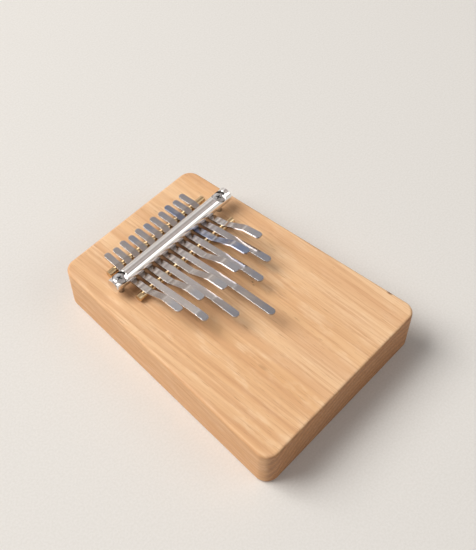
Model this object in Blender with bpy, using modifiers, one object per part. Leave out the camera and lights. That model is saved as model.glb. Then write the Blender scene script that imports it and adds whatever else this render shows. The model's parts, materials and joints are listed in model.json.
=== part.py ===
"""Board kalimba with eleven steel tines, modelled at real size in metres.

+X runs to the right as the player sees it, +Y from the player's end to the head end, +Z up.
The origin is the middle of the board's underside.
"""

import math

import bmesh
import bpy

MM = 0.001

# Board
BOARD_LENGTH = 150 * MM
BOARD_WIDTH_PLAYER_END = 113 * MM
BOARD_WIDTH_HEAD_END = 93 * MM
BOARD_THICKNESS = 27 * MM
BOARD_CORNER_RADIUS = 7 * MM
BOARD_EDGE_RADIUS = 1.6 * MM
CORNER_STEPS = 8
EDGE_ROUND_STEPS = 3

# Clearances
SEAT_GAP = 0.3 * MM
SCREW_HOLE_CLEARANCE = 0.3 * MM
HEAD_POCKET_CLEARANCE = 0.35 * MM

# Bridge rods and pressure bar
BRIDGE_ROD_DIAMETER = 4 * MM
BRIDGE_ROD_LENGTH = 69 * MM
BRIDGE_ROD_CHAMFER = 0.3 * MM
BRIDGE_SPACING = 21.5 * MM
FRONT_BRIDGE_FROM_HEAD_END = 44 * MM
BAR_DIAMETER = 8 * MM
BAR_LENGTH = 82.5 * MM
BAR_CHAMFER = 0.4 * MM
BAR_BEHIND_FRONT_BRIDGE = 11.4 * MM
BAR_OFFSET_X = 1.0 * MM
ROD_SIDES = 24
BAR_SIDES = 40

# Clamp screws
SCREW_SPACING = 71.5 * MM
SCREW_OFFSET_X = 0.3 * MM
SCREW_SHANK_DIAMETER = 3 * MM
SCREW_POINT_LENGTH = 3 * MM
SCREW_DEPTH_IN_BOARD = 16 * MM
SCREW_HEAD_DIAMETER = 6.8 * MM
SCREW_HEAD_HEIGHT = 2.3 * MM
SCREW_HEAD_CROWN = 0.6 * MM
RECESS_SPAN = 3.6 * MM
RECESS_SLOT_WIDTH = 0.8 * MM
RECESS_DEPTH = 1.4 * MM
RECESS_TAPER = 0.55
SCREW_SIDES = 28

# Tines
TINE_COUNT = 11
TINE_THICKNESS = 0.9 * MM
TINE_WIDTH_BACK = 3.5 * MM
TINE_WIDTH_TIP = 4.0 * MM
TINE_EDGE_CHAMFER = 0.15 * MM
TINE_PITCH = 5.7 * MM
TINE_FAN_STEP = -0.0105
TINE_FAN_MIDDLE = -0.01
TINE_SET_OFFSET_X = -0.5 * MM
TINE_DIP = 2.0 * MM
TINE_BACK_OVERHANG = 8.6 * MM
TINE_BACK_STAGGER = 0.7 * MM
SHORT_TINE_BEND_RADIUS = 3.0 * MM
SHORT_TINE_SHOULDER_RADIUS = 5.0 * MM
SHORT_TINE_RISE_RUN = 12.3 * MM
SHORT_TINE_RISE = 6.8 * MM
SHORT_TINE_ROOT_SLOPE = 0.10
SHORT_TINE_TIP_SLOPE = 0.13
LONG_TINE_CREASE_RADIUS = 8.0 * MM
LONG_TINE_TIP_SLOPE = 0.06
ARC_STEPS = 4

# One row a tine, left to right: reach of the tip in front of the front bridge, distance from the
# front bridge to its first bend or crease, and, on a long tine, the slope up to the crease.
TINE_SET = [
    {"reach": 26.5 * MM, "bend": 2.4 * MM},
    {"reach": 38.5 * MM, "bend": 32.0 * MM, "slope": 0.19},
    {"reach": 29.5 * MM, "bend": 6.4 * MM},
    {"reach": 47.5 * MM, "bend": 31.3 * MM, "slope": 0.14},
    {"reach": 33.5 * MM, "bend": 10.3 * MM},
    {"reach": 59.5 * MM, "bend": 34.0 * MM, "slope": 0.13},
    {"reach": 30.7 * MM, "bend": 8.0 * MM},
    {"reach": 41.3 * MM, "bend": 29.0 * MM, "slope": 0.11},
    {"reach": 26.5 * MM, "bend": 3.9 * MM},
    {"reach": 35.7 * MM, "bend": 25.8 * MM, "slope": 0.10},
    {"reach": 24.5 * MM, "bend": 1.3 * MM},
]

# Places that follow from the sizes above
FRONT_BRIDGE_Y = BOARD_LENGTH / 2 - FRONT_BRIDGE_FROM_HEAD_END
REAR_BRIDGE_Y = FRONT_BRIDGE_Y + BRIDGE_SPACING
BAR_Y = FRONT_BRIDGE_Y + BAR_BEHIND_FRONT_BRIDGE
BRIDGE_Z = BOARD_THICKNESS + SEAT_GAP + BRIDGE_ROD_DIAMETER / 2
TINE_REST_Z = BRIDGE_Z + BRIDGE_ROD_DIAMETER / 2 + SEAT_GAP + TINE_THICKNESS / 2
TINE_DIP_Z = TINE_REST_Z - TINE_DIP
BAR_Z = TINE_DIP_Z + TINE_THICKNESS / 2 + SEAT_GAP + BAR_DIAMETER / 2
SCREW_XS = [SCREW_OFFSET_X - SCREW_SPACING / 2, SCREW_OFFSET_X + SCREW_SPACING / 2]
HEAD_UNDERSIDE_Z = BAR_Z + SEAT_GAP

parts = None
cutters = None


def clear_scene():
    for obj in list(bpy.data.objects):
        bpy.data.objects.remove(obj, do_unlink=True)
    for collection in list(bpy.data.collections):
        bpy.data.collections.remove(collection)


def new_collection(name):
    collection = bpy.data.collections.new(name)
    bpy.context.scene.collection.children.link(collection)
    return collection


def principled(name, color, roughness, metallic):
    material = bpy.data.materials.new(name)
    material.use_nodes = True
    shader = material.node_tree.nodes["Principled BSDF"]
    shader.inputs["Base Color"].default_value = (*color, 1.0)
    shader.inputs["Roughness"].default_value = roughness
    shader.inputs["Metallic"].default_value = metallic
    return material


def add_object(name, mesh, collection, material=None):
    obj = bpy.data.objects.new(name, mesh)
    collection.objects.link(obj)
    if material:
        mesh.materials.append(material)
    return obj


def make_cutter(name, mesh):
    cutter = add_object(name, mesh, cutters)
    cutter.hide_render = True
    cutter.display_type = "WIRE"
    return cutter


def cut(obj, cutter):
    modifier = obj.modifiers.new("Cut " + cutter.name, "BOOLEAN")
    modifier.operation = "DIFFERENCE"
    modifier.solver = "EXACT"
    modifier.object = cutter


def round_edges(obj, width, segments, angle=50):
    modifier = obj.modifiers.new("Rounded edges", "BEVEL")
    modifier.width = width
    modifier.segments = segments
    modifier.limit_method = "ANGLE"
    modifier.angle_limit = math.radians(angle)
    modifier.use_clamp_overlap = True


def shade_round(mesh, angle=35):
    mesh.shade_smooth()
    mesh.set_sharp_from_angle(angle=math.radians(angle))


def cylinder_mesh(name, radius, length, sides):
    """A cylinder along Z, centred on its origin."""
    mesh = bpy.data.meshes.new(name)
    bm = bmesh.new()
    bmesh.ops.create_cone(
        bm,
        cap_ends=True,
        segments=sides,
        radius1=radius,
        radius2=radius,
        depth=length,
    )
    bm.to_mesh(mesh)
    bm.free()
    return mesh


def filleted_path(corners):
    """Points along straight runs whose corners, given as (u, v, radius), are rounded by arcs."""
    points = [corners[0][:2]]
    for before, corner, after in zip(corners, corners[1:], corners[2:]):
        u, v, radius = corner
        back = (before[0] - u, before[1] - v)
        ahead = (after[0] - u, after[1] - v)
        back_length = math.hypot(*back)
        ahead_length = math.hypot(*ahead)
        back = (back[0] / back_length, back[1] / back_length)
        ahead = (ahead[0] / ahead_length, ahead[1] / ahead_length)
        dot = max(-1.0, min(1.0, back[0] * ahead[0] + back[1] * ahead[1]))
        half_angle = math.acos(dot) / 2
        tangent = min(radius / math.tan(half_angle), 0.49 * back_length, 0.49 * ahead_length)
        fillet = tangent * math.tan(half_angle)
        middle = (back[0] + ahead[0], back[1] + ahead[1])
        reach = fillet / math.sin(half_angle) / math.hypot(*middle)
        centre = (u + middle[0] * reach, v + middle[1] * reach)
        start = (u + back[0] * tangent - centre[0], v + back[1] * tangent - centre[1])
        end = (u + ahead[0] * tangent - centre[0], v + ahead[1] * tangent - centre[1])
        first = math.atan2(start[1], start[0])
        turn = math.remainder(math.atan2(end[1], end[0]) - first, 2 * math.pi)
        for step in range(ARC_STEPS + 1):
            angle = first + turn * step / ARC_STEPS
            points.append((centre[0] + fillet * math.cos(angle), centre[1] + fillet * math.sin(angle)))
    points.append(corners[-1][:2])
    return points


def rounded_quad(corners, radius, steps):
    """Outline points of a four-sided shape with every corner rounded to the same radius."""
    points = []
    count = len(corners)
    for index in range(count):
        x, y = corners[index]
        toward_last = math.atan2(corners[index - 1][1] - y, corners[index - 1][0] - x)
        toward_next = math.atan2(
            corners[(index + 1) % count][1] - y, corners[(index + 1) % count][0] - x
        )
        opening = math.remainder(toward_last - toward_next, 2 * math.pi)
        middle = toward_next + opening / 2
        reach = radius / abs(math.sin(opening / 2))
        centre_x = x + reach * math.cos(middle)
        centre_y = y + reach * math.sin(middle)
        sweep = math.pi - abs(opening)
        for step in range(steps + 1):
            angle = middle + math.pi - sweep / 2 + sweep * step / steps
            points.append((centre_x + radius * math.cos(angle), centre_y + radius * math.sin(angle)))
    return points


def mesh_from_curve(curve_object):
    """The curve's evaluated mesh with its caps welded to its sides; the curve is removed."""
    graph = bpy.context.evaluated_depsgraph_get()
    mesh = bpy.data.meshes.new_from_object(curve_object.evaluated_get(graph))
    bm = bmesh.new()
    bm.from_mesh(mesh)
    bmesh.ops.remove_doubles(bm, verts=bm.verts, dist=0.01 * MM)
    bm.to_mesh(mesh)
    bm.free()
    placement = curve_object.matrix_world.copy()
    bpy.data.objects.remove(curve_object, do_unlink=True)
    return mesh, placement


def screw_hole(name, diameter, z_low, z_high, x):
    mesh = cylinder_mesh(name, diameter / 2, z_high - z_low, SCREW_SIDES)
    cutter = make_cutter(name, mesh)
    cutter.location = (x, BAR_Y, (z_low + z_high) / 2)
    return cutter


def make_board():
    half_player = BOARD_WIDTH_PLAYER_END / 2
    half_head = BOARD_WIDTH_HEAD_END / 2
    half_length = BOARD_LENGTH / 2
    corners = [
        (-half_player, -half_length),
        (half_player, -half_length),
        (half_head, half_length),
        (-half_head, half_length),
    ]
    outline = rounded_quad(corners, BOARD_CORNER_RADIUS, CORNER_STEPS)
    curve = bpy.data.curves.new("Board outline", "CURVE")
    curve.dimensions = "2D"
    curve.fill_mode = "BOTH"
    curve.extrude = BOARD_THICKNESS / 2
    spline = curve.splines.new("POLY")
    spline.points.add(len(outline) - 1)
    for point, (x, y) in zip(spline.points, outline):
        point.co = (x, y, 0, 1)
    spline.use_cyclic_u = True
    outline_object = bpy.data.objects.new("Board outline", curve)
    parts.objects.link(outline_object)
    outline_object.location.z = BOARD_THICKNESS / 2
    bpy.context.view_layer.update()
    mesh, placement = mesh_from_curve(outline_object)
    wood = principled("Cherry wood", (0.83, 0.52, 0.30), 0.5, 0.0)
    board = add_object("board", mesh, parts, wood)
    board.matrix_world = placement
    round_edges(board, BOARD_EDGE_RADIUS, EDGE_ROUND_STEPS)
    shade_round(mesh)
    hole_bottom = BOARD_THICKNESS - SCREW_DEPTH_IN_BOARD - SCREW_HOLE_CLEARANCE
    hole_diameter = SCREW_SHANK_DIAMETER + 2 * SCREW_HOLE_CLEARANCE
    for side, x in zip(("left", "right"), SCREW_XS):
        name = "board_hole_" + side
        cut(board, screw_hole(name, hole_diameter, hole_bottom, BOARD_THICKNESS + 2 * MM, x))


def make_rod(name, diameter, length, chamfer, sides, location, material):
    """A round rod along X with chamfered ends."""
    mesh = cylinder_mesh(name, diameter / 2, length, sides)
    rod = add_object(name, mesh, parts, material)
    rod.rotation_euler = (0, math.pi / 2, 0)
    rod.location = location
    round_edges(rod, chamfer, 1)
    shade_round(mesh)
    return rod


def make_bridges():
    for name, y in (("front_bridge_rod", FRONT_BRIDGE_Y), ("rear_bridge_rod", REAR_BRIDGE_Y)):
        brass = principled("Brass of " + name, (0.72, 0.54, 0.32), 0.15, 1.0)
        make_rod(
            name,
            BRIDGE_ROD_DIAMETER,
            BRIDGE_ROD_LENGTH,
            BRIDGE_ROD_CHAMFER,
            ROD_SIDES,
            (0, y, BRIDGE_Z),
            brass,
        )


def make_pressure_bar():
    nickel = principled("Nickel plated steel", (0.84, 0.83, 0.82), 0.06, 1.0)
    bar = make_rod(
        "pressure_bar",
        BAR_DIAMETER,
        BAR_LENGTH,
        BAR_CHAMFER,
        BAR_SIDES,
        (BAR_OFFSET_X, BAR_Y, BAR_Z),
        nickel,
    )
    pocket_diameter = SCREW_HEAD_DIAMETER + 2 * HEAD_POCKET_CLEARANCE
    hole_diameter = SCREW_SHANK_DIAMETER + 2 * SCREW_HOLE_CLEARANCE
    for side, x in zip(("left", "right"), SCREW_XS):
        pocket_name = "bar_pocket_" + side
        cut(bar, screw_hole(pocket_name, pocket_diameter, BAR_Z, BAR_Z + BAR_DIAMETER, x))
        hole_name = "bar_hole_" + side
        cut(bar, screw_hole(hole_name, hole_diameter, BAR_Z - BAR_DIAMETER, BAR_Z + 1 * MM, x))


def recess_cutter(name, turn):
    """One arm of the cross recess: a flat wedge, narrower at its foot."""
    mesh = bpy.data.meshes.new(name)
    bm = bmesh.new()
    bmesh.ops.create_cube(bm, size=1)
    for vert in bm.verts:
        share = RECESS_TAPER if vert.co.z < 0 else 1.0
        vert.co.x *= RECESS_SPAN * share
        vert.co.y *= RECESS_SLOT_WIDTH * share
        vert.co.z *= 2 * RECESS_DEPTH
    bm.to_mesh(mesh)
    bm.free()
    cutter = make_cutter(name, mesh)
    cutter.rotation_euler = (0, 0, turn)
    return cutter


def screw_profile():
    """Half outline of a wood screw, from the crown's middle down its outer side to the point."""
    radius = SCREW_HEAD_DIAMETER / 2
    shank = SCREW_SHANK_DIAMETER / 2
    point_z = BOARD_THICKNESS - SCREW_DEPTH_IN_BOARD
    edge_z = HEAD_UNDERSIDE_Z + SCREW_HEAD_HEIGHT - SCREW_HEAD_CROWN
    profile = []
    for step in range(7):
        angle = math.pi / 2 * step / 6
        crown_z = edge_z + SCREW_HEAD_CROWN * math.cos(angle)
        profile.append((radius * math.sin(angle), crown_z))
    profile.append((radius, HEAD_UNDERSIDE_Z))
    profile.append((shank, HEAD_UNDERSIDE_Z))
    profile.append((shank, point_z + SCREW_POINT_LENGTH))
    profile.append((0, point_z))
    return profile


def make_screws():
    head_top = HEAD_UNDERSIDE_Z + SCREW_HEAD_HEIGHT
    for side, x in zip(("left", "right"), SCREW_XS):
        name = "clamp_screw_" + side
        steel = principled("Steel of " + name, (0.68, 0.68, 0.69), 0.2, 1.0)
        mesh = bpy.data.meshes.new(name)
        bm = bmesh.new()
        verts = [bm.verts.new((r, 0, z)) for r, z in screw_profile()]
        for above, below in zip(verts, verts[1:]):
            bm.edges.new((above, below))
        bm.to_mesh(mesh)
        bm.free()
        screw = add_object(name, mesh, parts, steel)
        screw.location = (x, BAR_Y, 0)
        spin = screw.modifiers.new("Turned shape", "SCREW")
        spin.axis = "Z"
        spin.steps = SCREW_SIDES
        spin.render_steps = SCREW_SIDES
        spin.use_merge_vertices = True
        spin.merge_threshold = 0.01 * MM
        spin.use_smooth_shade = True
        for index in range(2):
            turn = math.radians(20) + index * math.pi / 2
            cutter = recess_cutter("recess_{}_{}".format(side, index), turn)
            cutter.location = (x, BAR_Y, head_top)
            cut(screw, cutter)


def tine_corners(index, row):
    """Middle line of one tine, from its back end to its tip, as (y from front bridge, z, radius)."""
    stagger = TINE_BACK_STAGGER if index % 2 == 0 else 0
    rod_bend = BRIDGE_ROD_DIAMETER / 2 + SEAT_GAP + TINE_THICKNESS / 2
    bar_bend = BAR_DIAMETER / 2 + SEAT_GAP + TINE_THICKNESS / 2
    half_turn = math.atan(TINE_DIP / BAR_BEHIND_FRONT_BRIDGE)
    valley_z = TINE_DIP_Z - bar_bend * (1 / math.cos(half_turn) - 1)
    corners = [
        (BRIDGE_SPACING + TINE_BACK_OVERHANG + stagger, TINE_REST_Z, 0),
        (BRIDGE_SPACING, TINE_REST_Z, rod_bend),
        (BAR_BEHIND_FRONT_BRIDGE, valley_z, bar_bend),
        (0, TINE_REST_Z, rod_bend),
    ]
    if "slope" in row:
        crease_z = TINE_REST_Z + row["slope"] * row["bend"]
        tip_z = crease_z + LONG_TINE_TIP_SLOPE * (row["reach"] - row["bend"])
        corners.append((-row["bend"], crease_z, LONG_TINE_CREASE_RADIUS))
    else:
        root_z = TINE_REST_Z + SHORT_TINE_ROOT_SLOPE * row["bend"]
        shoulder = row["bend"] + SHORT_TINE_RISE_RUN
        shoulder_z = root_z + SHORT_TINE_RISE
        tip_z = shoulder_z + SHORT_TINE_TIP_SLOPE * (row["reach"] - shoulder)
        corners.append((-row["bend"], root_z, SHORT_TINE_BEND_RADIUS))
        corners.append((-shoulder, shoulder_z, SHORT_TINE_SHOULDER_RADIUS))
    corners.append((-row["reach"], tip_z, 0))
    return corners


def end_outline(half_width, long_tine):
    """Offsets from the end and half widths there: a round end, or a flat end with cut corners."""
    if long_tine:
        angles = [math.radians(degrees) for degrees in (22, 45, 68, 90)]
        return [(half_width * (1 - math.cos(a)), half_width * math.sin(a)) for a in angles]
    return [(0, 0.5 * half_width), (0.35 * half_width, 0.85 * half_width), (0.8 * half_width, half_width)]


def tine_stations(index, row):
    """(y, z, half width) along a tine, with its back end rounded and its tip shaped."""
    path = filleted_path(tine_corners(index, row))
    back_y = path[0][0]
    tip_y = path[-1][0]

    def half_width(y):
        share = (back_y - y) / (back_y - tip_y)
        return (TINE_WIDTH_BACK + (TINE_WIDTH_TIP - TINE_WIDTH_BACK) * share) / 2

    stations = []
    first, second = path[0], path[1]
    slope = (second[1] - first[1]) / (second[0] - first[0])
    for offset, half in end_outline(half_width(back_y), True):
        stations.append((back_y - offset, first[1] - slope * offset, half))
    for y, z in path[1:-1]:
        stations.append((y, z, half_width(y)))
    last, before = path[-1], path[-2]
    slope = (before[1] - last[1]) / (before[0] - last[0])
    for offset, half in reversed(end_outline(half_width(tip_y), "slope" in row)):
        stations.append((tip_y + offset, last[1] + slope * offset, half))
    return stations


def make_tines():
    for index, row in enumerate(TINE_SET[:TINE_COUNT]):
        name = "tine_{:02d}".format(index + 1)
        steel = principled("Steel of " + name, (0.50, 0.46, 0.43), 0.2, 1.0)
        stations = tine_stations(index, row)
        mesh = bpy.data.meshes.new(name)
        bm = bmesh.new()
        bmesh.ops.create_grid(bm, x_segments=1, y_segments=len(stations) - 1, size=1)
        bm.verts.ensure_lookup_table()
        for vert in bm.verts:
            place = round((vert.co.y + 1) / 2 * (len(stations) - 1))
            y, z, half = stations[len(stations) - 1 - place]
            vert.co = (math.copysign(half, vert.co.x), y, z - BRIDGE_Z)
        bmesh.ops.recalc_face_normals(bm, faces=bm.faces)
        bm.to_mesh(mesh)
        bm.free()
        tine = add_object(name, mesh, parts, steel)
        middle = (TINE_COUNT - 1) / 2
        fan = TINE_FAN_MIDDLE + TINE_FAN_STEP * (index - middle)
        tine.location = (
            TINE_SET_OFFSET_X + TINE_PITCH * (index - middle),
            FRONT_BRIDGE_Y,
            BRIDGE_Z,
        )
        tine.rotation_euler = (0, 0, -math.atan(fan))
        thicken = tine.modifiers.new("Thickness", "SOLIDIFY")
        thicken.thickness = TINE_THICKNESS
        thicken.offset = 0
        thicken.use_even_offset = True
        round_edges(tine, TINE_EDGE_CHAMFER, 1, angle=60)
        shade_round(mesh)


def main():
    global parts, cutters
    clear_scene()
    parts = new_collection("Kalimba")
    cutters = new_collection("Cutters")
    make_board()
    make_bridges()
    make_pressure_bar()
    make_screws()
    make_tines()


main()
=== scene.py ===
"""Looks of the board kalimba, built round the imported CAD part. Metres, +Z up, +Y towards the head end."""

import json
import math

import bmesh
import bpy
from mathutils import Matrix, Vector

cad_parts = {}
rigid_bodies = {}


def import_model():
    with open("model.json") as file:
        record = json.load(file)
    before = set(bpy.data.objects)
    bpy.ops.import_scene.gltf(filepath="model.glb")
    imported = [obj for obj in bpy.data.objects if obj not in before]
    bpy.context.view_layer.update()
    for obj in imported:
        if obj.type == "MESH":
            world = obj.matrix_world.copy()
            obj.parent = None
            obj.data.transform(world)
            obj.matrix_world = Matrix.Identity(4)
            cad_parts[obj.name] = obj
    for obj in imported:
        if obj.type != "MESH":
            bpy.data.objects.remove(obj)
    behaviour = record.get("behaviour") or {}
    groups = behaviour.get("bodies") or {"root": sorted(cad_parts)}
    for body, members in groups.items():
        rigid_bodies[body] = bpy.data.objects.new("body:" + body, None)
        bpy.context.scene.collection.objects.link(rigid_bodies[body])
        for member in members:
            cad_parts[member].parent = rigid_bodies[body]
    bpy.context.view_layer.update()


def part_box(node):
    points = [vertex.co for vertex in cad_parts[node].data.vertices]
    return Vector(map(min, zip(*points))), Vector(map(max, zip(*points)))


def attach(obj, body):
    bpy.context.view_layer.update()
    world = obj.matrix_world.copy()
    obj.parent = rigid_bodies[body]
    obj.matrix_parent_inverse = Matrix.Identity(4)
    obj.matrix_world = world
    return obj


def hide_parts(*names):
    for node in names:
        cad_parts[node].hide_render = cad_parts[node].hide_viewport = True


MM = 0.001

# Sizes shared with the CAD part
BOARD_LENGTH = 150 * MM
BOARD_WIDTH_PLAYER_END = 113 * MM
BOARD_WIDTH_HEAD_END = 93 * MM
BOARD_THICKNESS = 27 * MM
BOARD_CORNER_RADIUS = 7 * MM
BOARD_EDGE_RADIUS = 1.6 * MM
SEAT_GAP = 0.3 * MM
SCREW_HOLE_CLEARANCE = 0.3 * MM
HEAD_POCKET_CLEARANCE = 0.35 * MM
BRIDGE_ROD_DIAMETER = 4 * MM
BRIDGE_ROD_LENGTH = 69 * MM
BRIDGE_ROD_CHAMFER = 0.3 * MM
BRIDGE_SPACING = 21.5 * MM
FRONT_BRIDGE_Y = 31 * MM
BAR_DIAMETER = 8 * MM
BAR_LENGTH = 82.5 * MM
BAR_CHAMFER = 0.4 * MM
BAR_BEHIND_FRONT_BRIDGE = 11.4 * MM
BAR_OFFSET_X = 1.0 * MM
SCREW_SPACING = 71.5 * MM
SCREW_OFFSET_X = 0.3 * MM
SCREW_SHANK_DIAMETER = 3 * MM
SCREW_POINT_LENGTH = 3 * MM
SCREW_DEPTH_IN_BOARD = 16 * MM
SCREW_HEAD_DIAMETER = 6.8 * MM
SCREW_HEAD_HEIGHT = 2.3 * MM
SCREW_HEAD_CROWN = 0.6 * MM
RECESS_SPAN = 3.6 * MM
RECESS_SLOT_WIDTH = 0.8 * MM
RECESS_DEPTH = 1.4 * MM
RECESS_TAPER = 0.55
RECESS_TURN = math.radians(20)
TINE_THICKNESS = 0.9 * MM
TINE_WIDTH_BACK = 3.5 * MM
TINE_WIDTH_TIP = 4.0 * MM
TINE_PITCH = 5.7 * MM
TINE_FAN_STEP = -0.0105
TINE_FAN_MIDDLE = -0.01
TINE_SET_OFFSET_X = -0.5 * MM
TINE_DIP = 2.0 * MM
TINE_BACK_OVERHANG = 8.6 * MM
TINE_BACK_STAGGER = 0.7 * MM
SHORT_TINE_BEND_RADIUS = 3.0 * MM
SHORT_TINE_SHOULDER_RADIUS = 5.0 * MM
SHORT_TINE_RISE_RUN = 12.3 * MM
SHORT_TINE_RISE = 6.8 * MM
SHORT_TINE_ROOT_SLOPE = 0.10
SHORT_TINE_TIP_SLOPE = 0.13
LONG_TINE_CREASE_RADIUS = 8.0 * MM
LONG_TINE_TIP_SLOPE = 0.06
MIDDLE_TINE = 5

# Reach and bend of each tine, and slope of the long ones, as in the CAD; then the heat tint of front and back
TINE_SET = [
    {"reach": 26.5 * MM, "bend": 2.4 * MM, "tint": 0.25, "back": 0.2},
    {"reach": 38.5 * MM, "bend": 32.0 * MM, "slope": 0.19, "tint": 0.35, "back": 0.2},
    {"reach": 29.5 * MM, "bend": 6.4 * MM, "tint": 0.3, "back": 0.25},
    {"reach": 47.5 * MM, "bend": 31.3 * MM, "slope": 0.14, "tint": 0.4, "back": 0.7},
    {"reach": 33.5 * MM, "bend": 10.3 * MM, "tint": 0.3, "back": 0.3},
    {"reach": 59.5 * MM, "bend": 34.0 * MM, "slope": 0.13, "tint": 0.45, "back": 0.75},
    {"reach": 30.7 * MM, "bend": 8.0 * MM, "tint": 0.35, "back": 0.3},
    {"reach": 41.3 * MM, "bend": 29.0 * MM, "slope": 0.11, "tint": 0.45, "back": 0.35},
    {"reach": 26.5 * MM, "bend": 3.9 * MM, "tint": 0.9, "back": 0.5},
    {"reach": 35.7 * MM, "bend": 25.8 * MM, "slope": 0.10, "tint": 0.5, "back": 0.4},
    {"reach": 24.5 * MM, "bend": 1.3 * MM, "tint": 0.4, "back": 0.3},
]

# Places and sizes that follow from those above
BAR_Y = FRONT_BRIDGE_Y + BAR_BEHIND_FRONT_BRIDGE
BRIDGE_Z = BOARD_THICKNESS + SEAT_GAP + BRIDGE_ROD_DIAMETER / 2
TINE_REST_Z = BRIDGE_Z + BRIDGE_ROD_DIAMETER / 2 + SEAT_GAP + TINE_THICKNESS / 2
TINE_DIP_Z = TINE_REST_Z - TINE_DIP
BAR_Z = TINE_DIP_Z + TINE_THICKNESS / 2 + SEAT_GAP + BAR_DIAMETER / 2
SCREW_XS = [SCREW_OFFSET_X - SCREW_SPACING / 2, SCREW_OFFSET_X + SCREW_SPACING / 2]
HEAD_UNDERSIDE_Z = BAR_Z + SEAT_GAP
HEAD_TOP_Z = HEAD_UNDERSIDE_Z + SCREW_HEAD_HEIGHT
HOLE_DIAMETER = SCREW_SHANK_DIAMETER + 2 * SCREW_HOLE_CLEARANCE

# How finely the pieces are made
ROUND_SIDES = 96
ARC_STEPS = 12
BOARD_CORNER_STEPS = 24
BOARD_EDGE_SEGMENTS = 6
CROWN_STEPS = 14
ROUND_END_DEGREES = range(18, 91, 9)
TINE_EDGE_RADIUS = 0.26 * MM
TINE_EDGE_SEGMENTS = 4
BEVEL_FROM_DEGREES = 50
TINE_BEVEL_FROM_DEGREES = 60
SHARP_ANGLE = math.radians(32)
BOARD_SHADING_WEIGHT = 100
TINE_SHADING_WEIGHT = 80
MERGE_DISTANCE = 0.01 * MM

# Largest share of a straight run that the fillet at its end may take
FILLET_LARGEST_SHARE = 0.49

# How far a cutter reaches past the face where its hole starts
BOARD_HOLE_OVERRUN = 2 * MM
BAR_HOLE_OVERRUN = 1 * MM

# Distance from a cut tip's end, and half width there, as shares of the tine's full half width
CUT_TIP_OUTLINE = [(0, 0.5), (0.12, 0.70), (0.35, 0.86), (0.8, 1.0)]

# Wood noises: how many to the metre along X, Y and Z, their detail and their roughness
WOOD_NOISES = {
    "broad": ((45, 5, 45), 3.0, 0.5),
    "fibres": ((950, 22, 950), 4.0, 0.6),
    "streaks": ((300, 7, 300), 3.0, 0.5),
    "pores": ((2600, 130, 2600), 1.0, 0.5),
    "flecks": ((210, 65, 210), 3.0, 0.6),
    "speckle": ((700, 300, 1300), 4.0, 0.65),
}
RING_STRETCH = (10, 0.55, 10)
RING_SHIFT = (-0.25, 0.0, 0.75)
RING_TURN = (0.012, 0.0, 0.06)
RING_WAVE = {"Scale": 6.5, "Distortion": 2.2, "Detail": 3.0, "Detail Scale": 1.3}

# Wood colours, and the layers over them: texture, where it starts, where it is full, how strong, colour
WOOD_TONES = [(0.30, (0.92, 0.615, 0.365)), (0.5, (0.865, 0.54, 0.295)), (0.70, (0.80, 0.46, 0.225))]
WOOD_LAYERS = [
    ("flecks", 0.46, 0.70, 0.60, (0.96, 0.67, 0.42)),
    ("rings", 0.45, 1.00, 0.45, (0.70, 0.375, 0.19)),
    ("streaks", 0.50, 0.80, 0.45, (0.66, 0.36, 0.18)),
    ("fibres", 0.42, 0.70, 0.60, (0.64, 0.335, 0.17)),
    ("pores", 0.64, 0.78, 0.45, (0.40, 0.19, 0.09)),
]
# End grain on the Y faces: darker in itself, and darkened further as painted shade
END_GRAIN_AND_SHADE_TONES = [(0.35, (0.56, 0.27, 0.11)), (0.65, (0.37, 0.155, 0.058))]
END_GRAIN_RING = (0.27, 0.11, 0.05)
END_GRAIN_RING_STRENGTH = 0.5
# Painted shade on the board's two long sides, darker and more orange than the top
WOOD_SIDE_SHADE = (0.70, 0.36, 0.16)
WOOD_MARK = (0.22, 0.09, 0.04)

# Share of a mark's radius that is at full strength
SPOT_CORE = 0.3

# Small knots and marks in the wood: centre, radii and strength
WOOD_MARKS = [
    ((12.8 * MM, -3.0 * MM, 27 * MM), (0.6 * MM, 1.0 * MM, 1 * MM), 0.6),
    ((11.8 * MM, -4.6 * MM, 27 * MM), (0.5 * MM, 0.9 * MM, 1 * MM), 0.5),
    ((54.7 * MM, -58.2 * MM, 26.8 * MM), (1.5 * MM, 2.4 * MM, 1.3 * MM), 0.95),
    ((-21 * MM, -40 * MM, 27 * MM), (1.2 * MM, 3.5 * MM, 1 * MM), 0.22),
    ((33 * MM, 20 * MM, 27 * MM), (1.0 * MM, 4.0 * MM, 1 * MM), 0.2),
]
WOOD_SHINE = 0.28
FIBRE_RELIEF = 0.6
WOOD_BUMP_STRENGTH = 0.22
WOOD_BUMP_HEIGHT = 0.12 * MM

# Polished metals: light and dark colour, least roughness, and marks to the metre along its own X, Y and Z
BRASS = ((0.78, 0.60, 0.37), (0.50, 0.36, 0.20), 0.10, (900, 900, 60))
NICKEL = ((0.90, 0.89, 0.88), (0.78, 0.76, 0.75), 0.02, (60, 60, 1400))
ZINC_STEEL = ((0.72, 0.72, 0.73), (0.50, 0.49, 0.48), 0.14, (700, 700, 700))
SPECK_SHADE = 0.5
METAL_BUMP_STRENGTH = 0.05
METAL_BUMP_HEIGHT = 0.01 * MM
# Painted shade for the screw head: a dark band at the depth of its cross recess
RECESS_SHADE = (0.05, 0.045, 0.04)
RECESS_SHADE_BELOW_HEAD_TOP = 1.1 * MM
RECESS_SHADE_REACH = 0.75 * MM

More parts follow.
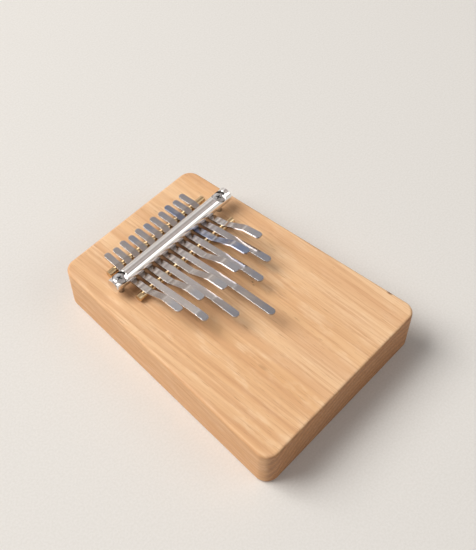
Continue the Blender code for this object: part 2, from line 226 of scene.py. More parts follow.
# Spring steel of the tines. Textures are given to the metre along X, Y and Z, and the shift for each tine
TINE_BRUSHING = (3200, 55, 3200)
TINE_CLOUDS = (160, 70, 160)
TINE_PATCHES = (190, 110, 190)
TINE_PATTERN_SHIFT = (3.7, 1.3)
TINE_TONES = [(0.25, (0.62, 0.57, 0.53)), (0.75, (0.50, 0.455, 0.42))]
TINE_STRAW = (0.46, 0.385, 0.33)
TINE_BLUE = (0.38, 0.42, 0.49)
TINE_DEEP_BLUE = (0.15, 0.22, 0.40)
# Painted highlight colours: across the tines' bends, and along their long edges
TINE_CREASE_HIGHLIGHT = (0.78, 0.77, 0.76)
TINE_EDGE_HIGHLIGHT = (0.74, 0.73, 0.72)
TINE_SCALE = (0.30, 0.27, 0.25)
TINE_BUMP_STRENGTH = 0.06
TIP_TINT_LEAST = 0.35
TIP_TINT_GAIN = 0.4
BODY_TINT_GAIN = 0.85
# Strength of the painted highlight across the bends
CREASE_HIGHLIGHT_STRENGTH = 0.35

# Where the looks of a tine change: along it, with the painted highlights at its bends, and for the painted
# edge highlight across it from its middle line
BLUE_TIP_LENGTH = 10 * MM
BLUE_TIP_FADE = 5 * MM
BLUE_BACK_START = 1 * MM
BLUE_BACK_END = 5 * MM
CREASE_HIGHLIGHT_REACH = 1.1 * MM
SHOULDER_HIGHLIGHT_REACH = 1.3 * MM
EDGE_HIGHLIGHT_START = 1.6 * MM
EDGE_HIGHLIGHT_END = 2.0 * MM

# Table and studio
TABLE_RADIUS = 2.4
TABLE_SIDES = 128
TABLE_GRAIN = 900.0
TABLE_ROUGHNESS = 0.85
TABLE_SHINE = 0.2
TABLE_TONES = [(0.35, (0.76, 0.735, 0.70)), (0.65, (0.80, 0.775, 0.745))]
STUDIO_COLOR = (0.80, 0.78, 0.75)
STUDIO_LIGHT = (1.0, 0.985, 0.97, 1.0)
STUDIO_LIGHT_STRENGTH = 0.21

# What polished metal mirrors, from the player's side of the room at 0 to the head end's side at 1
STUDIO_REFLECTIONS = [
    (0.050, (0.80, 0.75, 0.69)),
    (0.066, (0.76, 0.71, 0.65)),
    (0.085, (0.20, 0.18, 0.17)),
    (0.33, (0.20, 0.18, 0.17)),
    (0.36, (0.66, 0.585, 0.55)),
    (0.70, (0.38, 0.34, 0.315)),
    (0.745, (0.66, 0.62, 0.60)),
    (0.79, (0.58, 0.54, 0.51)),
    (0.825, (0.95, 0.92, 0.90)),
    (0.95, (0.62, 0.56, 0.52)),
]
LIGHT_TARGET = (0, 0, 0.02)
LIGHTS = [
    {
        "name": "Key softbox",
        "place": (-1.15, 1.72, 2.36),
        "size": (2.1, 2.1),
        "power": 106.0,
        "color": (1.0, 0.98, 0.95),
    },
    {
        "name": "Strip softbox",
        "place": (1.038, -1.602, 1.472),
        "size": (1.5, 1.38),
        "power": 8.5,
        "color": (1.0, 0.99, 0.98),
    },
]

# Camera, its place, turns and focal length solved from the photograph
CAMERA_PLACE = (-0.19639, -0.18555, 0.41564)
CAMERA_TILT = math.radians(35.957)
CAMERA_HEADING = math.radians(-47.368)
CAMERA_ROLL = math.radians(-0.053)
CAMERA_FOCAL_PIXELS = 942.12
CAMERA_NEAREST = 0.01
IMAGE_WIDTH = 476
IMAGE_HEIGHT = 550
SENSOR_HEIGHT = 36.0


class Nodes:
    """Adds shader nodes to one node tree and wires them."""

    def __init__(self, tree):
        self.tree = tree

    def add(self, kind, inputs=None, **settings):
        node = self.tree.nodes.new(kind)
        for name, value in settings.items():
            setattr(node, name, value)
        for key, value in (inputs or {}).items():
            self.put(node.inputs[key], value)
        return node

    def put(self, socket, value):
        if isinstance(value, bpy.types.NodeSocket):
            self.tree.links.new(value, socket)
        else:
            socket.default_value = value

    def math(self, operation, first, second=0.5, third=0.5, clamp=False):
        inputs = {0: first, 1: second, 2: third}
        return self.add("ShaderNodeMath", inputs, operation=operation, use_clamp=clamp).outputs[0]

    def blend(self, factor, under, over):
        """Mixes two colours; on the Mix node, sockets 6, 7 and output 2 are the ones for colours."""
        inputs = {0: factor, 6: rgba(under), 7: rgba(over)}
        return self.add("ShaderNodeMix", inputs, data_type="RGBA").outputs[2]

    def layer(self, under, mask, low, high, most, over):
        """Lays a colour over another: none of it where mask is at low, its most where mask is at high."""
        return self.blend(self.span(mask, low, high, 0.0, most), under, over)

    def stretched(self, vector, scale, shift=(0, 0, 0), turn=(0, 0, 0)):
        inputs = {"Vector": vector, "Scale": scale, "Location": shift, "Rotation": turn}
        return self.add("ShaderNodeMapping", inputs).outputs[0]

    def noise(self, vector, scale=1.0, detail=3.0, roughness=0.5):
        inputs = {"Vector": vector, "Scale": scale, "Detail": detail, "Roughness": roughness}
        return self.add("ShaderNodeTexNoise", inputs).outputs["Fac"]

    def span(self, value, low, high, to_low=0.0, to_high=1.0):
        inputs = {"Value": value, "From Min": low, "From Max": high, "To Min": to_low, "To Max": to_high}
        node = self.add("ShaderNodeMapRange", inputs, interpolation_type="SMOOTHSTEP", clamp=True)
        return node.outputs[0]

    def spot(self, vector, centre, radii):
        """1 in the core of an oval patch, falling to 0 at its rim."""
        scale = tuple(1 / radius for radius in radii)
        shift = tuple(-place / radius for place, radius in zip(centre, radii))
        near = self.stretched(vector, scale, shift)
        length = self.add("ShaderNodeVectorMath", {0: near}, operation="LENGTH").outputs["Value"]
        return self.span(length, low=1.0, high=SPOT_CORE)

    def band(self, value, middle, reach):
        """1 where value is at middle, falling to 0 at reach away from it."""
        away = self.math("ABSOLUTE", self.math("SUBTRACT", value, middle))
        return self.span(away, low=reach, high=0.0)

    def ramp(self, value, stops):
        node = self.add("ShaderNodeValToRGB", {0: value})
        elements = node.color_ramp.elements
        while len(elements) < len(stops):
            elements.new(0.5)
        for element, (place, color) in zip(elements, stops):
            element.position = place
            element.color = rgba(color)
        return node.outputs["Color"]


def rgba(color):
    if isinstance(color, tuple) and len(color) == 3:
        return (*color, 1.0)
    return color


def new_material(name):
    material = bpy.data.materials.new(name)
    material.use_nodes = True
    nodes = Nodes(material.node_tree)
    shader = material.node_tree.nodes["Principled BSDF"]
    coords = nodes.add("ShaderNodeTexCoord")
    return material, nodes, shader, coords


def add_bump(nodes, shader, height, strength, distance):
    inputs = {"Height": height, "Strength": strength, "Distance": distance}
    bump = nodes.add("ShaderNodeBump", inputs)
    nodes.put(shader.inputs["Normal"], bump.outputs[0])


def wood_textures(nodes, place):
    """Growth rings round a pith below the board, and noises drawn out along Y, by name."""
    textures = {}
    for name, (stretch, detail, roughness) in WOOD_NOISES.items():
        textures[name] = nodes.noise(nodes.stretched(place, stretch), detail=detail, roughness=roughness)
    ring_place = nodes.stretched(place, RING_STRETCH, RING_SHIFT, RING_TURN)
    ring_inputs = {"Vector": ring_place, **RING_WAVE}
    rings = nodes.add("ShaderNodeTexWave", ring_inputs, wave_type="RINGS", rings_direction="Y")
    textures["rings"] = rings.outputs["Fac"]
    return textures


def wood_color(nodes, coords, textures):
    """Colour of the top, then the end grain on the Y faces, darker in itself and darkened further as painted
    shade, painted shade on the long sides, and the marks over it.
    """
    color = nodes.ramp(textures["broad"], WOOD_TONES)
    for name, low, high, most, over in WOOD_LAYERS:
        color = nodes.layer(color, textures[name], low, high, most, over)
    facing = nodes.add("ShaderNodeSeparateXYZ", {0: coords.outputs["Normal"]})
    # End grain, darker in itself and darkened further as painted shade
    end_grain_and_shade = nodes.ramp(textures["speckle"], END_GRAIN_AND_SHADE_TONES)
    end_rings = nodes.math("MULTIPLY", textures["rings"], END_GRAIN_RING_STRENGTH)
    end_grain_and_shade = nodes.blend(end_rings, end_grain_and_shade, END_GRAIN_RING)
    facing_y = nodes.math("ABSOLUTE", facing.outputs["Y"])
    color = nodes.layer(color, facing_y, low=0.45, high=0.85, most=0.85, over=end_grain_and_shade)
    # Painted shade: darkens the faces that look along X, the board's long sides
    facing_x = nodes.math("ABSOLUTE", facing.outputs["X"])
    color = nodes.layer(color, facing_x, low=0.5, high=0.9, most=0.35, over=WOOD_SIDE_SHADE)
    for centre, radii, strength in WOOD_MARKS:
        mask = nodes.math("MULTIPLY", nodes.spot(coords.outputs["Object"], centre, radii), strength)
        color = nodes.blend(mask, color, WOOD_MARK)
    return color


def wood_material():
    """Light cherry, with fine fibres and pores along Y."""
    material, nodes, shader, coords = new_material("Light cherry wood")
    textures = wood_textures(nodes, coords.outputs["Object"])
    nodes.put(shader.inputs["Base Color"], wood_color(nodes, coords, textures))
    roughness = nodes.span(textures["fibres"], low=0.3, high=0.75, to_low=0.45, to_high=0.62)
    nodes.put(shader.inputs["Roughness"], roughness)
    shader.inputs["Specular IOR Level"].default_value = WOOD_SHINE
    ridges = nodes.math("MULTIPLY", textures["fibres"], FIBRE_RELIEF)
    pits = nodes.span(textures["pores"], low=0.6, high=0.8)
    height = nodes.math("SUBTRACT", ridges, pits)
    add_bump(nodes, shader, height, WOOD_BUMP_STRENGTH, WOOD_BUMP_HEIGHT)
    return material


def metal_material(name, metal, head_top=None):
    """Polished metal with fine drawn marks and handling smudges, and painted shade in a screw's cross recess.
    """
    light, dark, least_roughness, stretch = metal
    material, nodes, shader, coords = new_material(name)
    place = coords.outputs["Object"]
    marks = nodes.noise(nodes.stretched(place, stretch), roughness=0.6)
    smudges = nodes.noise(place, scale=130.0, detail=4.0, roughness=0.55)
    specks = nodes.noise(place, scale=2100.0, detail=1.0)
    speck_color = tuple(SPECK_SHADE * channel for channel in dark)
    color = nodes.ramp(marks, [(0.3, light), (0.75, dark)])
    color = nodes.layer(color, smudges, low=0.5, high=0.8, most=0.35, over=dark)
    color = nodes.layer(color, specks, low=0.7, high=0.8, most=0.4, over=speck_color)
    if head_top:
        # Painted shade: a dark band at the depth of the cross recess, over the recess and the head's side
        # there
        depth = nodes.add("ShaderNodeSeparateXYZ", {0: place}).outputs["Z"]
        recess_shade = nodes.band(depth, head_top - RECESS_SHADE_BELOW_HEAD_TOP, RECESS_SHADE_REACH)
        color = nodes.blend(recess_shade, color, RECESS_SHADE)
    nodes.put(shader.inputs["Base Color"], color)
    shader.inputs["Metallic"].default_value = 1.0
    smudged = nodes.span(smudges, low=0.35, high=0.75, to_high=0.05)
    scratched = nodes.span(marks, low=0.3, high=0.8, to_high=0.03)
    worn = nodes.math("ADD", smudged, scratched)
    nodes.put(shader.inputs["Roughness"], nodes.math("ADD", worn, least_roughness))
    add_bump(nodes, shader, marks, METAL_BUMP_STRENGTH, METAL_BUMP_HEIGHT)
    return material


def tine_color(nodes, place, row, brushed, clouds, patches):
    """Brushed steel, straw and blue from heat, painted highlights across the bends and along the edges, and
    dark scale.
    """
    axes = nodes.add("ShaderNodeSeparateXYZ", {0: place})
    along = axes.outputs["Y"]
    across = nodes.math("ABSOLUTE", axes.outputs["X"])
    color = nodes.ramp(brushed, TINE_TONES)
    color = nodes.layer(color, clouds, low=0.42, high=0.72, most=0.45, over=TINE_STRAW)
    tip_start = -row["reach"] + BLUE_TIP_LENGTH
    tip_most = TIP_TINT_LEAST + TIP_TINT_GAIN * row["tint"]
    color = nodes.layer(color, along, tip_start, tip_start - BLUE_TIP_FADE, tip_most, TINE_BLUE)
    back_start = BRIDGE_SPACING + BLUE_BACK_START
    back_end = BRIDGE_SPACING + BLUE_BACK_END
    color = nodes.layer(color, along, back_start, back_end, row["back"], TINE_BLUE)
    body_most = BODY_TINT_GAIN * row["tint"] ** 2
    color = nodes.layer(color, patches, low=0.15, high=0.6, most=body_most, over=TINE_DEEP_BLUE)
    # Painted highlight: a light band across the tine at its crease and, on short tines, at the shoulder
    crease_highlight = nodes.band(along, -row["bend"], CREASE_HIGHLIGHT_REACH)
    if "slope" not in row:
        shoulder = nodes.band(along, -row["bend"] - SHORT_TINE_RISE_RUN, SHOULDER_HIGHLIGHT_REACH)
        crease_highlight = nodes.math("MAXIMUM", crease_highlight, shoulder)
    color = nodes.blend(nodes.math("MULTIPLY", crease_highlight, CREASE_HIGHLIGHT_STRENGTH), color, TINE_CREASE_HIGHLIGHT)
    # Painted highlight: lighter strips along both long edges of the tine
    color = nodes.layer(color, across, EDGE_HIGHLIGHT_START, EDGE_HIGHLIGHT_END, most=0.25, over=TINE_EDGE_HIGHLIGHT)
    scale_specks = nodes.noise(place, scale=1500.0, detail=2.0)
    return nodes.layer(color, scale_specks, low=0.70, high=0.80, most=0.3, over=TINE_SCALE)


def tine_material(number, row):
    """Spring steel brushed along its length; the shift gives each tine its own pattern."""
    material, nodes, shader, coords = new_material("Spring steel {:02d}".format(number))
    place = coords.outputs["Object"]
    shift = (number * TINE_PATTERN_SHIFT[0], number * TINE_PATTERN_SHIFT[1], 0)
    brushed = nodes.noise(nodes.stretched(place, TINE_BRUSHING, shift), roughness=0.6)
    clouds = nodes.noise(nodes.stretched(place, TINE_CLOUDS, shift))
    patches = nodes.noise(nodes.stretched(place, TINE_PATCHES, shift))
    color = tine_color(nodes, place, row, brushed, clouds, patches)
    nodes.put(shader.inputs["Base Color"], color)
    shader.inputs["Metallic"].default_value = 1.0
    roughness = nodes.span(patches, low=0.3, high=0.75, to_low=0.13, to_high=0.22)
    nodes.put(shader.inputs["Roughness"], roughness)
    add_bump(nodes, shader, brushed, TINE_BUMP_STRENGTH, METAL_BUMP_HEIGHT)
    return material


def apply_modifiers(piece):
    """Gives the piece the mesh that its modifiers make."""
    bpy.context.view_layer.update()
    graph = bpy.context.evaluated_depsgraph_get()
    mesh = bpy.data.meshes.new_from_object(piece.evaluated_get(graph), depsgraph=graph)
    piece.modifiers.clear()
    piece.data = mesh


def keep_in_box(piece, node):
    """Moves any point of the piece that lies outside its CAD node's box onto that box."""
    low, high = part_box(node)
    back = piece.matrix_world.inverted()
    for vert in piece.data.vertices:
        spot = piece.matrix_world @ vert.co
        for axis in range(3):
            spot[axis] = min(max(spot[axis], low[axis]), high[axis])
        vert.co = back @ spot


def settle(piece, node, body, reshade=True):
    """Finishes the piece's mesh and hands it to the frame in place of its CAD node."""
    apply_modifiers(piece)
    if reshade:
        piece.data.shade_smooth()
        piece.data.set_sharp_from_angle(angle=SHARP_ANGLE)
    keep_in_box(piece, node)
    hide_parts(node)
    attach(piece, body)


def add_piece(name, mesh, material=None):
    piece = bpy.data.objects.new(name, mesh)
    bpy.context.scene.collection.objects.link(piece)
    if material:
        mesh.materials.append(material)
    return piece


def cylinder_mesh(name, radius, length):
    mesh = bpy.data.meshes.new(name)
    bm = bmesh.new()
    bmesh.ops.create_cone(
        bm, cap_ends=True, segments=ROUND_SIDES, radius1=radius, radius2=radius, depth=length
    )
    bm.to_mesh(mesh)
    bm.free()
    return mesh


def cut_now(piece, cutter):
    """Takes the cutter's shape out of the piece, then removes the cutter."""
    modifier = piece.modifiers.new("Cut", "BOOLEAN")
    modifier.operation = "DIFFERENCE"
    modifier.solver = "EXACT"
    modifier.object = cutter
    apply_modifiers(piece)
    bpy.data.objects.remove(cutter, do_unlink=True)


def round_cutter(diameter, x, low, high):
    """An upright cylinder between two heights, on the bar's middle line as seen from above."""
    cutter = add_piece("cutter", cylinder_mesh("cutter", diameter / 2, high - low))
    cutter.location = (x, BAR_Y, (low + high) / 2)
    return cutter


def bevel(piece, width, segments, from_degrees=BEVEL_FROM_DEGREES):
    modifier = piece.modifiers.new("Rounded edges", "BEVEL")
    modifier.width = width
    modifier.segments = segments
    modifier.limit_method = "ANGLE"
    modifier.angle_limit = math.radians(from_degrees)


def even_shading(piece, weight):
    """Shades flat faces flat and lets the narrow rounded edges turn between them."""
    piece.data.shade_smooth()
    modifier = piece.modifiers.new("Even shading", "WEIGHTED_NORMAL")
    modifier.weight = weight
    return modifier


def rounded_quad(corners, radius, steps):
    """Outline points of a four-sided shape with every corner rounded to the same radius."""
    points = []
    for index in range(4):
        x, y = corners[index]
        last = corners[index - 1]
        following = corners[(index + 1) % 4]
        toward_last = math.atan2(last[1] - y, last[0] - x)
        toward_next = math.atan2(following[1] - y, following[0] - x)
        opening = math.remainder(toward_last - toward_next, 2 * math.pi)
        middle = toward_next + opening / 2
        reach = radius / abs(math.sin(opening / 2))
        sweep = math.pi - abs(opening)
        for step in range(steps + 1):
            angle = middle + math.pi - sweep / 2 + sweep * step / steps
            px = x + reach * math.cos(middle) + radius * math.cos(angle)
            py = y + reach * math.sin(middle) + radius * math.sin(angle)
            points.append((px, py))
    return points


def board_mesh():
    half_player = BOARD_WIDTH_PLAYER_END / 2
    half_head = BOARD_WIDTH_HEAD_END / 2
    half_length = BOARD_LENGTH / 2
    corners = [
        (-half_player, -half_length),
        (half_player, -half_length),
        (half_head, half_length),
        (-half_head, half_length),
    ]
    outline = rounded_quad(corners, BOARD_CORNER_RADIUS, BOARD_CORNER_STEPS)
    mesh = bpy.data.meshes.new("Board")
    bm = bmesh.new()
    face = bm.faces.new([bm.verts.new((x, y, 0)) for x, y in outline])
    grown = bmesh.ops.extrude_face_region(bm, geom=[face])
    tops = [item for item in grown["geom"] if isinstance(item, bmesh.types.BMVert)]
    bmesh.ops.translate(bm, verts=tops, vec=(0, 0, BOARD_THICKNESS))
    bmesh.ops.recalc_face_normals(bm, faces=bm.faces)
    bm.to_mesh(mesh)
    bm.free()
    return mesh


def make_board():
    board = add_piece("cherry_board", board_mesh(), wood_material())
    bevel(board, BOARD_EDGE_RADIUS, BOARD_EDGE_SEGMENTS)
    hole_bottom = BOARD_THICKNESS - SCREW_DEPTH_IN_BOARD - SCREW_HOLE_CLEARANCE
    hole_top = BOARD_THICKNESS + BOARD_HOLE_OVERRUN
    for x in SCREW_XS:
        cut_now(board, round_cutter(HOLE_DIAMETER, x, hole_bottom, hole_top))
    even = even_shading(board, BOARD_SHADING_WEIGHT)
    even.keep_sharp = True
    settle(board, "board", "body", reshade=False)


def lying_rod(name, diameter, length, chamfer, place, material):
    """A chamfered rod along X."""
    rod = add_piece(name, cylinder_mesh(name, diameter / 2, length), material)
    rod.rotation_euler = (0, math.pi / 2, 0)
    rod.location = place
    bevel(rod, chamfer, 1)
    return rod


def make_bridge_rods():
    brass = metal_material("Polished brass", BRASS)
    for name, node, y in (
        ("brass_rod_front", "front_bridge_rod", FRONT_BRIDGE_Y),
        ("brass_rod_rear", "rear_bridge_rod", FRONT_BRIDGE_Y + BRIDGE_SPACING),
    ):
        place = (0, y, BRIDGE_Z)
        rod = lying_rod(name, BRIDGE_ROD_DIAMETER, BRIDGE_ROD_LENGTH, BRIDGE_ROD_CHAMFER, place, brass)
        settle(rod, node, "body")


def make_bar():
    nickel = metal_material("Bright nickel", NICKEL)
    place = (BAR_OFFSET_X, BAR_Y, BAR_Z)
    bar = lying_rod("clamping_bar", BAR_DIAMETER, BAR_LENGTH, BAR_CHAMFER, place, nickel)
    pocket = SCREW_HEAD_DIAMETER + 2 * HEAD_POCKET_CLEARANCE
    for x in SCREW_XS:
        cut_now(bar, round_cutter(pocket, x, BAR_Z, BAR_Z + BAR_DIAMETER))
        cut_now(bar, round_cutter(HOLE_DIAMETER, x, BAR_Z - BAR_DIAMETER, BAR_Z + BAR_HOLE_OVERRUN))
    settle(bar, "pressure_bar", "body")


def screw_profile_mesh():
    """Half outline of a screw, from the middle of its crowned head to its point."""
    radius = SCREW_HEAD_DIAMETER / 2
    shank = SCREW_SHANK_DIAMETER / 2
    point_z = BOARD_THICKNESS - SCREW_DEPTH_IN_BOARD
    edge_z = HEAD_TOP_Z - SCREW_HEAD_CROWN
    crown = [math.pi / 2 * step / CROWN_STEPS for step in range(CROWN_STEPS + 1)]
    profile = [(radius * math.sin(a), edge_z + SCREW_HEAD_CROWN * math.cos(a)) for a in crown]
    profile += [(radius, HEAD_UNDERSIDE_Z), (shank, HEAD_UNDERSIDE_Z)]
    profile += [(shank, point_z + SCREW_POINT_LENGTH), (0, point_z)]
    mesh = bpy.data.meshes.new("Screw")
    bm = bmesh.new()
    verts = [bm.verts.new((r, 0, z)) for r, z in profile]
    for above, below in zip(verts, verts[1:]):
        bm.edges.new((above, below))
    bm.to_mesh(mesh)
    bm.free()
    return mesh


def recess_arm_mesh():
    """One slot of the cross recess, narrowing downwards; only its lower half cuts."""
    mesh = bpy.data.meshes.new("arm")
    bm = bmesh.new()
    bmesh.ops.create_cube(bm, size=1)
    for vert in bm.verts:
        share = RECESS_TAPER if vert.co.z < 0 else 1.0
        vert.co.x *= RECESS_SPAN * share
        vert.co.y *= RECESS_SLOT_WIDTH * share
        vert.co.z *= 2 * RECESS_DEPTH
    bm.to_mesh(mesh)
    bm.free()
    return mesh


def make_screws():
    steel = metal_material("Zinc screw steel", ZINC_STEEL, head_top=HEAD_TOP_Z)
    for side, x in zip(("left", "right"), SCREW_XS):
        screw = add_piece("cross_head_screw_" + side, screw_profile_mesh(), steel)
        screw.location = (x, BAR_Y, 0)
        spin = screw.modifiers.new("Turned shape", "SCREW")
        spin.steps = ROUND_SIDES
        spin.render_steps = ROUND_SIDES
        spin.use_merge_vertices = True
        spin.merge_threshold = MERGE_DISTANCE
        for quarter_turns in range(2):
            arm = add_piece("arm", recess_arm_mesh())
            arm.rotation_euler = (0, 0, RECESS_TURN + quarter_turns * math.pi / 2)
            arm.location = (x, BAR_Y, HEAD_TOP_Z)
            cut_now(screw, arm)
        settle(screw, "clamp_screw_" + side, "body")


def filleted_path(corners):
    """Points along straight runs whose corners, given as (u, v, radius), are rounded by arcs."""
    points = [corners[0][:2]]
    for before, corner, after in zip(corners, corners[1:], corners[2:]):
        u, v, radius = corner
        back = (before[0] - u, before[1] - v)
        ahead = (after[0] - u, after[1] - v)
        back_length = math.hypot(*back)
        ahead_length = math.hypot(*ahead)
        back = (back[0] / back_length, back[1] / back_length)
        ahead = (ahead[0] / ahead_length, ahead[1] / ahead_length)
        dot = max(-1.0, min(1.0, back[0] * ahead[0] + back[1] * ahead[1]))
        half_angle = math.acos(dot) / 2
        room = FILLET_LARGEST_SHARE * min(back_length, ahead_length)
        tangent = min(radius / math.tan(half_angle), room)
        fillet = tangent * math.tan(half_angle)
        middle = (back[0] + ahead[0], back[1] + ahead[1])
        reach = fillet / math.sin(half_angle) / math.hypot(*middle)
        centre = (u + middle[0] * reach, v + middle[1] * reach)
        start = (u + back[0] * tangent - centre[0], v + back[1] * tangent - centre[1])
        end = (u + ahead[0] * tangent - centre[0], v + ahead[1] * tangent - centre[1])
        first = math.atan2(start[1], start[0])
        turn = math.remainder(math.atan2(end[1], end[0]) - first, 2 * math.pi)
        for step in range(ARC_STEPS + 1):
            angle = first + turn * step / ARC_STEPS
            points.append((centre[0] + fillet * math.cos(angle), centre[1] + fillet * math.sin(angle)))
    points.append(corners[-1][:2])
    return points


def tine_corners(index, row):
    """Middle line of one tine, from its back end to its tip, as (y from front bridge, z, radius)."""
    stagger = TINE_BACK_STAGGER if index % 2 == 0 else 0
    rod_bend = BRIDGE_ROD_DIAMETER / 2 + SEAT_GAP + TINE_THICKNESS / 2
    bar_bend = BAR_DIAMETER / 2 + SEAT_GAP + TINE_THICKNESS / 2
    half_turn = math.atan(TINE_DIP / BAR_BEHIND_FRONT_BRIDGE)
    valley_z = TINE_DIP_Z - bar_bend * (1 / math.cos(half_turn) - 1)
    corners = [
        (BRIDGE_SPACING + TINE_BACK_OVERHANG + stagger, TINE_REST_Z, 0),
        (BRIDGE_SPACING, TINE_REST_Z, rod_bend),
        (BAR_BEHIND_FRONT_BRIDGE, valley_z, bar_bend),
        (0, TINE_REST_Z, rod_bend),
    ]
    if "slope" in row:
        crease_z = TINE_REST_Z + row["slope"] * row["bend"]
        tip_z = crease_z + LONG_TINE_TIP_SLOPE * (row["reach"] - row["bend"])
        corners.append((-row["bend"], crease_z, LONG_TINE_CREASE_RADIUS))
    else:
        root_z = TINE_REST_Z + SHORT_TINE_ROOT_SLOPE * row["bend"]
        shoulder = row["bend"] + SHORT_TINE_RISE_RUN
        shoulder_z = root_z + SHORT_TINE_RISE
        tip_z = shoulder_z + SHORT_TINE_TIP_SLOPE * (row["reach"] - shoulder)
        corners.append((-row["bend"], root_z, SHORT_TINE_BEND_RADIUS))
        corners.append((-shoulder, shoulder_z, SHORT_TINE_SHOULDER_RADIUS))
    corners.append((-row["reach"], tip_z, 0))
    return corners


def end_outline(half_width, round_end):
    """Offsets from the end and half widths there: a round end, or a flat end with cut corners."""
    if round_end:
        angles = [math.radians(degrees) for degrees in ROUND_END_DEGREES]
        return [(half_width * (1 - math.cos(a)), half_width * math.sin(a)) for a in angles]
    return [(offset * half_width, share * half_width) for offset, share in CUT_TIP_OUTLINE]


def tine_stations(index, row):
    """(y, z, half width) along a tine, with its back end rounded and its tip shaped."""
    path = filleted_path(tine_corners(index, row))
    back_y = path[0][0]
    tip_y = path[-1][0]

    def half_width(y):
        share = (back_y - y) / (back_y - tip_y)
        return (TINE_WIDTH_BACK + (TINE_WIDTH_TIP - TINE_WIDTH_BACK) * share) / 2

    stations = []
    first, second = path[0], path[1]
    slope = (second[1] - first[1]) / (second[0] - first[0])
    for offset, half in end_outline(half_width(back_y), True):
        stations.append((back_y - offset, first[1] - slope * offset, half))
    for y, z in path[1:-1]:
        stations.append((y, z, half_width(y)))
    last, before = path[-1], path[-2]
    slope = (before[1] - last[1]) / (before[0] - last[0])
    for offset, half in reversed(end_outline(half_width(tip_y), "slope" in row)):
        stations.append((tip_y + offset, last[1] + slope * offset, half))
    return stations


def tine_mesh(stations):
    """Middle surface of a tine: a narrow grid whose rows are laid on the stations."""
    last_row = len(stations) - 1
    mesh = bpy.data.meshes.new("Tine")
    bm = bmesh.new()
    bmesh.ops.create_grid(bm, x_segments=1, y_segments=last_row, size=1)
    for vert in bm.verts:
        row = round((vert.co.y + 1) / 2 * last_row)
        y, z, half = stations[last_row - row]
        vert.co = (math.copysign(half, vert.co.x), y, z - BRIDGE_Z)
    bmesh.ops.recalc_face_normals(bm, faces=bm.faces)
    bm.to_mesh(mesh)
    bm.free()
    return mesh


def make_tines():
    for index, row in enumerate(TINE_SET):
        number = index + 1
        node = "tine_{:02d}".format(number)
        mesh = tine_mesh(tine_stations(index, row))
        tine = add_piece("steel_tine_{:02d}".format(number), mesh, tine_material(number, row))
        fan = TINE_FAN_MIDDLE + TINE_FAN_STEP * (index - MIDDLE_TINE)
        x = TINE_SET_OFFSET_X + TINE_PITCH * (index - MIDDLE_TINE)
        tine.location = (x, FRONT_BRIDGE_Y, BRIDGE_Z)
        tine.rotation_euler = (0, 0, -math.atan(fan))
        thicken = tine.modifiers.new("Thickness", "SOLIDIFY")
        thicken.thickness = TINE_THICKNESS
        thicken.offset = 0
        thicken.use_even_offset = True
        bevel(tine, TINE_EDGE_RADIUS, TINE_EDGE_SEGMENTS, TINE_BEVEL_FROM_DEGREES)
        even_shading(tine, TINE_SHADING_WEIGHT)
        settle(tine, node, node, reshade=False)


def make_stage():
    material, nodes, shader, coords = new_material("Pale table")
    grain = nodes.noise(coords.outputs["Object"], scale=TABLE_GRAIN)
    nodes.put(shader.inputs["Base Color"], nodes.ramp(grain, TABLE_TONES))
    shader.inputs["Roughness"].default_value = TABLE_ROUGHNESS
    shader.inputs["Specular IOR Level"].default_value = TABLE_SHINE
    mesh = bpy.data.meshes.new("Table")
    bm = bmesh.new()
    bmesh.ops.create_circle(bm, cap_ends=True, segments=TABLE_SIDES, radius=TABLE_RADIUS)
    bm.to_mesh(mesh)
    bm.free()
    add_piece("table_top", mesh, material)


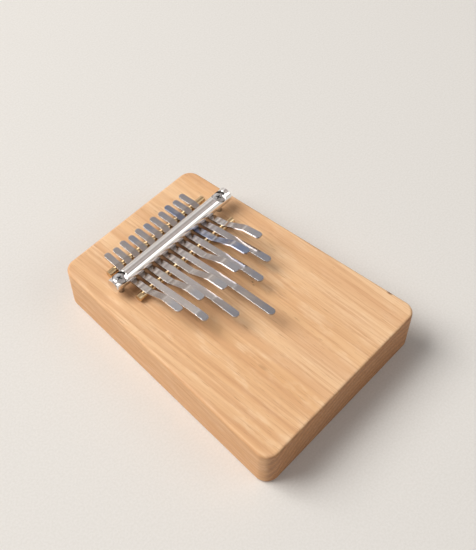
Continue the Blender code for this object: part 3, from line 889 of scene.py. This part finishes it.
def make_world():
    """Low even light on surfaces, a pale studio for the camera, and panels with dark gaps in reflections."""
    world = bpy.data.worlds.new("Studio")
    bpy.context.scene.world = world
    world.use_nodes = True
    world.node_tree.nodes.clear()
    nodes = Nodes(world.node_tree)
    coords = nodes.add("ShaderNodeTexCoord")
    heading = nodes.add("ShaderNodeSeparateXYZ", {0: coords.outputs["Generated"]}).outputs["Y"]
    mirrored = nodes.ramp(nodes.math("MULTIPLY_ADD", heading, 0.5, 0.5), STUDIO_REFLECTIONS)
    soft = nodes.add("ShaderNodeBackground", {"Color": STUDIO_LIGHT, "Strength": STUDIO_LIGHT_STRENGTH})
    path = nodes.add("ShaderNodeLightPath")
    seen = nodes.blend(path.outputs["Is Glossy Ray"], STUDIO_COLOR, mirrored)
    shown = nodes.add("ShaderNodeBackground", {"Color": seen, "Strength": 1.0})
    seen_rays = nodes.math("ADD", path.outputs["Is Camera Ray"], path.outputs["Is Glossy Ray"])
    seen_rays = nodes.math("ADD", seen_rays, path.outputs["Is Transmission Ray"], clamp=True)
    mixed = nodes.add("ShaderNodeMixShader", {0: seen_rays, 1: soft.outputs[0], 2: shown.outputs[0]})
    nodes.add("ShaderNodeOutputWorld", {"Surface": mixed.outputs[0]})


def make_lights():
    for row in LIGHTS:
        light = bpy.data.lights.new(row["name"], "AREA")
        light.shape = "RECTANGLE"
        light.size, light.size_y = row["size"]
        light.energy = row["power"]
        light.color = row["color"]
        lamp = bpy.data.objects.new(row["name"], light)
        bpy.context.scene.collection.objects.link(lamp)
        lamp.location = row["place"]
        aim = Vector(row["place"]) - Vector(LIGHT_TARGET)
        lamp.rotation_euler = aim.to_track_quat("Z", "Y").to_euler()


def make_camera():
    data = bpy.data.cameras.new("Camera")
    data.sensor_fit = "VERTICAL"
    data.sensor_height = SENSOR_HEIGHT
    data.lens = CAMERA_FOCAL_PIXELS * SENSOR_HEIGHT / IMAGE_HEIGHT
    data.clip_start = CAMERA_NEAREST
    camera = bpy.data.objects.new("Camera", data)
    bpy.context.scene.collection.objects.link(camera)
    camera.location = CAMERA_PLACE
    turn = Matrix.Rotation(CAMERA_HEADING, 4, "Z") @ Matrix.Rotation(CAMERA_TILT, 4, "X")
    camera.rotation_euler = (turn @ Matrix.Rotation(CAMERA_ROLL, 4, "Z")).to_euler()
    scene = bpy.context.scene
    scene.camera = camera
    scene.render.resolution_x = IMAGE_WIDTH
    scene.render.resolution_y = IMAGE_HEIGHT
    scene.view_settings.view_transform = "Standard"


for leftover in list(bpy.data.objects):
    bpy.data.objects.remove(leftover, do_unlink=True)
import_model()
make_board()
make_bridge_rods()
make_bar()
make_screws()
make_tines()
make_stage()
make_world()
make_lights()
make_camera()
